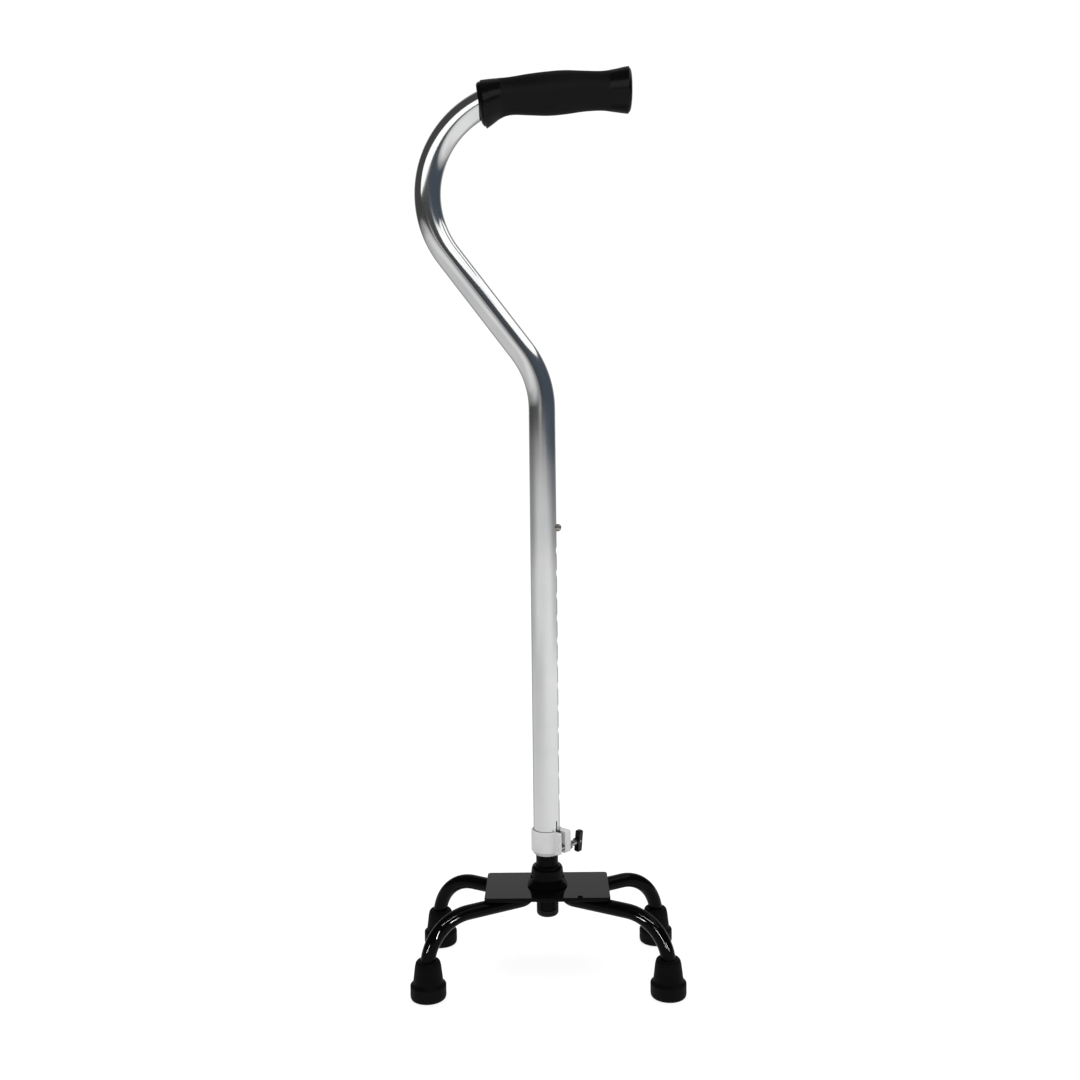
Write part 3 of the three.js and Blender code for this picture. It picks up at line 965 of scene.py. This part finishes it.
# ---- the base ----
def base_plate(enamel):
    outline = rounded_rectangle(PLATE_X, PLATE_Y, (PLATE_CORNER_R,) * 4, 8)
    plate = prism("plate", outline, PLATE_BOTTOM, PLATE_TOP)
    carved(plate, rod("post_hole", HUB_BORE_R, (0, 0, PLATE_TOP - 9), (0, 0, PLATE_TOP + 9), 64))
    dressed(shaded(eased(plate, 0.45, 3, 40), 40), enamel, "black_enamel", "base", "base_plate")


def socket_hub(enamel):
    r, foot, middle = HUB_BASE_R, HUB_BOTTOM, (HUB_BOTTOM + HUB_TOP) / 2
    corners = [(HUB_BORE_R, middle, 0), (HUB_BORE_R, foot, 0.2), (r, foot, 0.3), (r, foot + 0.9, 0.7)]
    corners += [(r - 1.4, foot + 3.6, 6), (r - 2.6, foot + 7, 8), (r - 3.3, foot + 11, 8)]
    corners += [(r - 3.7, foot + 14.6, 5), (r - 4.6, HUB_TOP - 0.9, 2.5), (r - 6.6, HUB_TOP, 0.6)]
    corners += [(HUB_BORE_R, HUB_TOP, 0.2), (HUB_BORE_R, middle + 1, 0)]
    hub = shaded(turned("hub", softened(corners, 6), 96), 40)
    dressed(hub, enamel, "black_enamel", "base", "socket_hub")


def foot_place(side_x, side_y):
    return ("front" if side_y < 0 else "rear") + "_" + ("left" if side_x < 0 else "right")


def foot_centre(side_x, side_y):
    tip = f"foot_tip_{foot_place(side_x, side_y)}"
    x, y, _ = (low(tip) + high(tip)) / 2
    return Vector((x, y, 0))


def leg_corners(side_x, side_y):
    """One leg's end, its knee and the bow's apex."""
    foot = foot_centre(side_x, side_y) + Vector((0, 0, LEG_MEETS_FOOT_Z))
    apex = Vector((side_x * LEG_APEX_X, 0, LEG_Z))
    outward = Vector((foot.x - apex.x, foot.y, 0)).normalized()

    def on_leg(z):
        spot = foot + outward * ((LEG_MEETS_FOOT_Z - z) * tan(LEG_SPLAY))
        return Vector((spot.x, spot.y, z))

    return on_leg(LEG_END_Z), on_leg(LEG_Z), apex


def leg_path(side_x):
    front_end, front_knee, apex = leg_corners(side_x, -1)
    rear_end, rear_knee = leg_corners(side_x, 1)[:2]
    corners = [front_end, front_knee, apex, rear_knee, rear_end]
    return rounded_path(corners, [LEG_DROP_R, LEG_APEX_R, LEG_DROP_R], 3)


def leg_bow(side, side_x, enamel):
    leg = pipe(f"leg_{side}", leg_path(side_x), LEG_R, LEG_WALL, 48)
    return dressed(shaded(eased(leg, 0.3, 2, 60), 60), enamel, "black_enamel", "base", f"leg_bow_{side}")


def weld_bead(name, start, end, enamel, ripple=0.14):
    """A straight run of weld: a rounded bead with ripples across it."""
    start, end = Vector(start), Vector(end)
    step, ripple_length = 0.35, 1.6
    last = max(2, round((end - start).length / step))
    path = [*(start.lerp(end, k / last) for k in range(last)), end]
    rings = []
    for i, station in enumerate(zip(path, frames(path, (0, 0, 1)))):
        reach = min(1, i * step / WELD_R, (last - i) * step / WELD_R)
        r = WELD_R * math.sqrt(max(0.02, 1 - (1 - reach) ** 2))
        r *= 1 - ripple * abs(sin(i * step * pi / ripple_length))
        rings.append(ring_at(*station, circle(r, 20)))
    bead = shaded(skin(name, rings), 60)
    dressed(bead, enamel, "black_enamel", "base")


def welds(enamel):
    """The legs' welds under the plate, and the one that shows on its front edge."""
    for foot in FEET:
        knee, apex = leg_corners(*foot)[1:]
        along = (knee - apex).normalized()
        across = Vector((-along.y, along.x, 0))
        for side, mark in ((-1, "a"), (1, "b")):
            line = []
            for reach in (24, 40):
                spot = apex + along * reach + across * side * (LEG_R - 1.4)
                line.append((spot.x, spot.y, PLATE_BOTTOM - 1.0))
            weld_bead(f"weld_{foot_place(*foot)}_{mark}", *line, enamel)
    y, z = -PLATE_Y + 1.9, PLATE_TOP + 0.1
    weld_bead("weld_front_edge", (24.9, y, z), (29.3, y, z), enamel, 0.05)


# ---- the feet ----
def tip_profile():
    """From the sole's centre out, up the side and back over the opening's lip to the axis."""
    r, top = TIP_R, TIP_HEIGHT
    groove, land = 1.1, 1.5
    corners = [(0, 1.0, 0), (2.2, 1.0, 0.1), (2.2, 0, 0.15)]
    x = 2.2 + land
    while x + groove < r - 3.2:
        corners += [(x, 0, 0.15), (x, 0.9, 0.1), (x + groove, 0.9, 0.1), (x + groove, 0, 0.15)]
        x += groove + land
    corners += [(r - 2.9, 0, 0.4), (r - 0.5, 0.7, 1.4), (r, 2.8, 2.0), (r, 11.4, 1.0)]
    corners += [(r - 1.6, 12.4, 0.6), (r - 2.3, 13.4, 1.6), (r - 3.9, top - 4.4, 3)]
    corners += [(r - 4.6, top - 1.5, 2.2), (r - 5.6, top - 0.3, 0.7), (r - 6.6, top, 0.5), (0, top, 0)]
    return softened(corners, 4)


def foot_tip(foot, rubber):
    place = foot_place(*foot)
    tip = turned(f"tip_{place}", tip_profile(), 72)
    end, knee = leg_corners(*foot)[:2]
    down = (end - knee).normalized()
    offset = foot_centre(*foot)
    start = end + down * 2.4 - offset
    carved(tip, rod("bore", LEG_R + 0.3, start, start - down * 50, 56))
    placed(tip, offset)
    dressed(shaded(tip, 35), rubber, "tip_rubber", "base", f"foot_tip_{place}")


# ---- CAD pieces that stay, hidden inside others ----
def carried_over(node, material):
    return painted(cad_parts[node], material)


# ---- the studio ----
def camera():
    """The photograph's camera: its place in metres and its turns in radians."""
    lens = bpy.data.cameras.new("camera")
    lens.sensor_width = 36
    lens.lens = 36.9
    lens.shift_y = -0.0296
    lens.clip_start = 0.01
    place, tilt, roll, yaw = (0.0035, -0.930, 0.4209), 0.0314, -0.0117, 0.0065
    view = added("camera", lens)
    turn = Matrix.Rotation(yaw, 4, "Z") @ Matrix.Rotation(pi / 2 - tilt, 4, "X")
    view.matrix_world = Matrix.Translation(place) @ turn @ Matrix.Rotation(roll, 4, "Z")
    bpy.context.scene.camera = view


FLOOR_R = 2600
SWEEP_R = 900
WALL_TOP = 2600


def stage_piece(name, points, faces, material):
    """A mesh that belongs to the studio."""
    piece = painted(added(name, mesh_of(name, points, faces)), material)
    return piece


def open_surface(name, profile, material):
    """A surface of revolution about Z from (radius, height) pairs, the first on the axis."""
    sides = 96
    points = [(0, 0, profile[0][1])]
    for r, z in profile[1:]:
        points += [(x, y, z) for x, y in circle(r, sides)]
    faces = [(0, 1 + j, 1 + (j + 1) % sides) for j in range(sides)]
    for i in range(len(profile) - 2):
        a, b = 1 + i * sides, 1 + (i + 1) * sides
        for j in range(sides):
            k = (j + 1) % sides
            faces.append((a + k, a + j, b + j, b + k))
    surface = stage_piece(name, points, faces, material)
    for polygon in surface.data.polygons:
        polygon.use_smooth = True
    return surface


def cyclorama():
    """A round white floor that curves up into a wall."""
    profile = [(0, 0), (FLOOR_R * 0.98, 0), (FLOOR_R, 0)]
    for k in range(1, 17):
        angle = pi / 2 * k / 16
        profile.append((FLOOR_R + SWEEP_R * sin(angle), SWEEP_R * (1 - cos(angle))))
    profile.append((FLOOR_R + SWEEP_R, WALL_TOP))
    open_surface("studio_floor", profile, studio_white()).visible_glossy = False


def reflected_only(obj):
    """The camera and the matt surfaces don't see the object; glossy ones reflect it."""
    for ray in ("camera", "diffuse", "transmission", "shadow"):
        setattr(obj, f"visible_{ray}", False)
    return obj


def glowing(m, colour, strength, clear=False):
    """The material becomes a plain light source, see-through or not."""
    glow = m.add("Emission", {"Color": colour, "Strength": strength})
    m.tree.nodes.remove(m.shader)
    if clear:
        through = m.add("BsdfTransparent", {"Color": (1, 1, 1, 1)})
        glow = m.add("AddShader", {0: glow.outputs[0], 1: through.outputs[0]})
    output = next(n for n in m.tree.nodes if n.type == "OUTPUT_MATERIAL")
    m.tree.links.new(glow.outputs[0], output.inputs["Surface"])
    return m.material


ROOM_R = 6000
ROOM_EYE = 600  # the height that azimuths and elevations in the room are seen from
ROOM_FLOOR = 1  # just over the white floor, so reflections show this one


def room_material():
    """What the metal and enamel reflect: dark walls with lighter parts, and a pale floor.

    Angles are in degrees: azimuth 0 is the camera's side, and 90 the object's right.
    """
    m = Nodes("reflected_room")
    x, y, z = m.add("SeparateXYZ", {"Vector": m.place()}).outputs[:3]
    flat = m.math("SQRT", m.plus(m.times(x, x), m.times(y, y)))
    degree = 180 / pi
    elevation = m.times(m.math("ARCTAN2", m.math("SUBTRACT", z, ROOM_EYE), flat), degree)
    azimuth = m.times(m.math("ARCTAN2", x, m.times(y, -1)), degree)
    aside = m.math("ABSOLUTE", azimuth)
    # the walls, cooler at the right and lighter behind
    walls = m.blend(m.ease(azimuth, -20, 55), grey(0.068), (0.072, 0.09, 0.115))
    walls = m.blend(m.ease(aside, 128, 150), walls, grey(0.34))
    # a lit part low in front, and a bright one behind
    off_centre = m.math("ABSOLUTE", m.plus(azimuth, 15))
    low_front = m.times(m.ease(elevation, 1.5, 3.5, 0.15, 1), m.ease(elevation, 4, 9, 1, 0))
    low_front = m.times(low_front, m.ease(off_centre, 5, 20, 1, 0))
    walls = m.blend(low_front, walls, grey(0.66))
    behind = m.times(m.ease(aside, 152, 160), m.ease(elevation, 8, 14))
    behind = m.times(behind, m.ease(elevation, 34, 44, 1, 0))
    walls = m.blend(behind, walls, grey(0.84))
    # the floor: far off, nearer, and close to the object, then its darker part behind
    far = m.ease(aside, 30, 108, 0.74, 0.33)
    near = m.plus(m.ease(aside, 45, 115, 0.86, 0.55), m.ease(azimuth, -20, 60, 0, 0.09))
    close = m.ease(x, -1300, 900, 0.66, 0.95)
    floor = m.blend(m.ease(elevation, -10, -4.5), near, far)
    floor = m.blend(m.ease(elevation, -24, -14), close, floor)
    floor = m.blend(m.ease(aside, 118, 160), floor, grey(0.34))
    # the floor gives way to the walls in two steps, lower down at the right
    aslant = m.plus(elevation, m.ease(azimuth, 10, 60, 0, 1.6))
    lit = m.times(m.ease(aslant, -3.7, 0.3, 1, 0.45), m.ease(aslant, 0.3, 1.0, 1, 0))
    return glowing(m, m.blend(lit, walls, floor), 1.0)


def reflected_room():
    profile = [(0, ROOM_FLOOR), (ROOM_R * 0.5, ROOM_FLOOR), (ROOM_R, ROOM_FLOOR)]
    for k in range(19):
        angle = pi / 2 * k / 19
        profile.append((ROOM_R * cos(angle), 2 * ROOM_FLOOR + ROOM_R * 1.6 * sin(angle)))
    reflected_only(open_surface("reflected_room", profile, room_material()))


def glowing_sheet(name, rows, radiance, softness, only=()):
    """A softbox through rows of points, dim towards its edges, that shows only in reflections.

    If it's only for some pieces, the others don't reflect it.
    """
    count = len(rows[0])
    places = []
    for i in range(len(rows)):
        up = abs(2 * i / (len(rows) - 1) - 1)
        places += [(abs(2 * j / (count - 1) - 1), up, 0) for j in range(count)]
    faces = []
    for i in range(len(rows) - 1):
        faces += quads(i * count, (i + 1) * count, count, count - 1)
    m = Nodes(name)
    across, along = m.add("SeparateXYZ", {"Vector": m.read("reach")}).outputs[:2]
    fade = [m.ease(way, 1 - softness, 1, 1, 0) for way in (across, along)]
    strength = m.times(m.times(*fade), radiance)
    # a lamp for some pieces only has to be clear, or the others would reflect it as a dark shape
    material = glowing(m, (1, 1, 1, 1), strength, bool(only))
    panel = reflected_only(stage_piece(name, np.concatenate(rows), faces, material))
    point_vectors(panel.data, "reach", places)
    if only:
        lit = bpy.data.collections.new(name)
        for piece in only:
            lit.objects.link(piece)
        panel.light_linking.receiver_collection = lit


def card(name, spine, radiance, softness, eye=ROOM_EYE, only=()):
    """A far sheet along a spine of (azimuth, elevation, half width) in degrees.

    They are seen from the shaft's axis at the eye's height: azimuth 0 is the camera's side, and
    90 is the object's right.
    """
    distance, columns = 2150, 16
    rows = []
    for azimuth, elevation, half in spine:
        el = radians(elevation)
        flat, z = distance * cos(el), eye + distance * sin(el)
        turns = [radians(azimuth + half * (2 * j / columns - 1)) for j in range(columns + 1)]
        rows.append([(flat * sin(turn), -flat * cos(turn), z) for turn in turns])
    glowing_sheet(name, rows, radiance, softness, only)


def near_box():
    """The softbox close in front of the handle: a level lower edge that rises at the right."""
    depth = -300
    # X, and the heights of the lower and upper edge there
    stations = [(-520, 765, 900), (-420, 750, 930), (-300, 745, 940), (-180, 743, 935), (-60, 743, 935)]
    stations += [(40, 748, 960), (110, 785, 1010), (200, 840, 1090), (320, 930, 1200)]
    steps = 24
    rows = []
    for x, bottom, top in stations:
        levels = [bottom + (top - bottom) * k / steps for k in range(steps + 1)]
        rows.append([(x, depth, z) for z in levels])
    glowing_sheet("box_near", rows, 1.45, 0.1)


def overhead_lamp():
    """A round lamp above, in metres, that nothing reflects."""
    place, target = Vector((0, -0.2, 2.5)), Vector((0, 0, 0.2))
    light = bpy.data.lights.new("overhead", "AREA")
    light.shape = "DISK"
    light.size = 2.4
    light.energy = 40
    lamp = added("overhead", light)
    lamp.location = place
    lamp.rotation_euler = (target - place).to_track_quat("-Z", "Y").to_euler()
    lamp.visible_camera = lamp.visible_glossy = False


def strip_lamps(legs):
    """Narrow lamps near the front, whose reflections draw the thin lines along the enamelled legs."""
    leg_height = 50
    lamps = {
        "strip_front": ([(-6, 32, 1.6), (4, 18, 1.6), (12, 7, 1.6), (20, 2, 1.6)], 560),
        "strip_left": ([(-30, 16, 1.6), (-38, 8, 1.6), (-46, 2, 1.6)], 560),
        "strip_right": ([(30, 16, 1.6), (38, 8, 1.6), (46, 2, 1.6)], 560),
        "strip_top": ([(0, 49.5, 35), (0, 50.5, 35), (0, 51.5, 35)], 300),
    }
    for name, (spine, radiance) in lamps.items():
        card(name, spine, radiance, 0.5, leg_height, legs)


def studio():
    cyclorama()
    reflected_room()
    card("box_right", [(82, 32, 51), (82, 46, 51), (82, 60, 51)], 1.4, 0.12)
    near_box()
    world = bpy.data.worlds.new("studio")
    bpy.context.scene.world = world
    world.use_nodes = True
    back = world.node_tree.nodes["Background"]
    back.inputs["Color"].default_value = (1, 1, 1, 1)
    back.inputs["Strength"].default_value = 0.55
    overhead_lamp()
    bpy.context.scene.view_settings.view_transform = "Standard"


# ---- the whole cane ----
def cane():
    enamel, rubber = black_enamel(), tip_rubber()
    handle_tube()
    hand_grip()
    locking_collar()
    thumbscrew_shank()
    thumbscrew_knob()
    inner_tube()
    post_end_plug()
    snap_button()
    button_spring()
    base_plate(enamel)
    socket_hub(enamel)
    strip_lamps([leg_bow("left", -1, enamel), leg_bow("right", 1, enamel)])
    welds(enamel)
    for foot in FEET:
        foot_tip(foot, rubber)
    plastic = moulded_plastic("end_plug_plastic", 0.002, 0.4, 0.3, 0.2)
    carried_over("tube_end_plug", plastic)
    washer = plated("washer_zinc", (0.7, 0.7, 0.68), 0.3)
    for foot in FEET:
        carried_over(f"tip_washer_{foot_place(*foot)}", washer)


camera()
studio()
cane()
